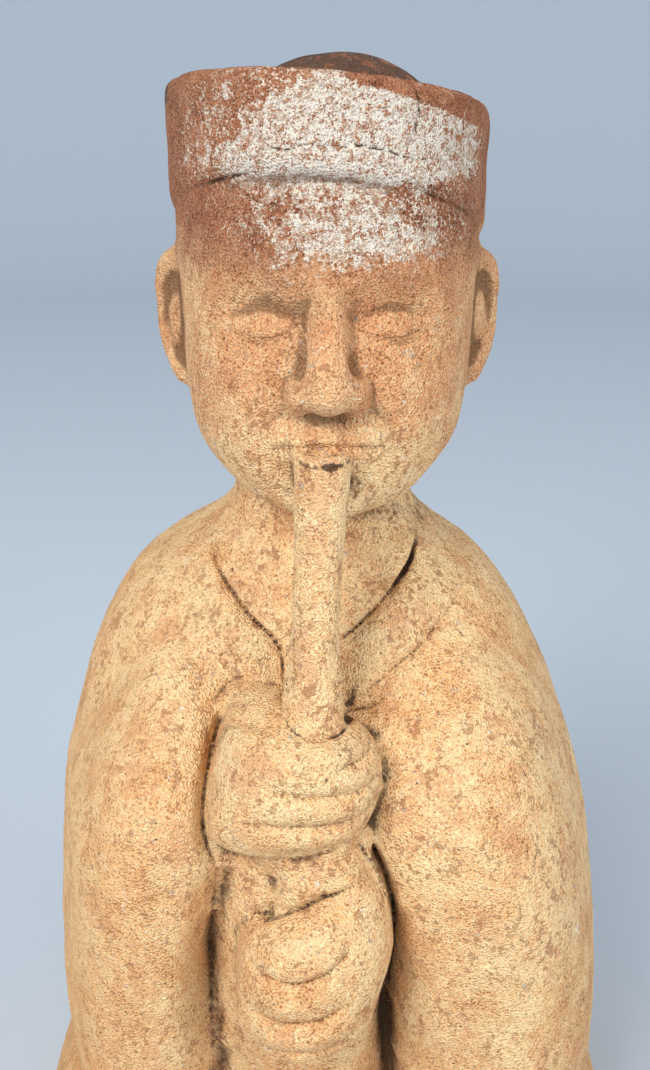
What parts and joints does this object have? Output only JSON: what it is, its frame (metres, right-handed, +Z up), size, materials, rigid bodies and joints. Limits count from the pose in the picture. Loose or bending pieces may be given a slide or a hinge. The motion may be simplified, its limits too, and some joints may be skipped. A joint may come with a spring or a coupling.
{
  "type": "terracotta tomb figure",
  "caption": "Kneeling tomb musician in fired clay: flat cap, wide-sleeved robe, both fists stacked on an upright flute held to the lips, plain flat underside",
  "frame": {"origin": "centre of the underside's bounding box, on the surface the figure stands on", "axes": "+Z up along the figure's height, -Y the way the figure faces, +X to the figure's left"},
  "size_m": [0.2971, 0.2871, 0.5402],
  "materials": {
    "terracotta": "unglazed low-fired clay, dry and sandy, red-brown on the cap to ochre on the robe, with worn white slip"
  },
  "bodies": {
    "root": {"flute_player": "terracotta"}
  },
  "joints": []
}
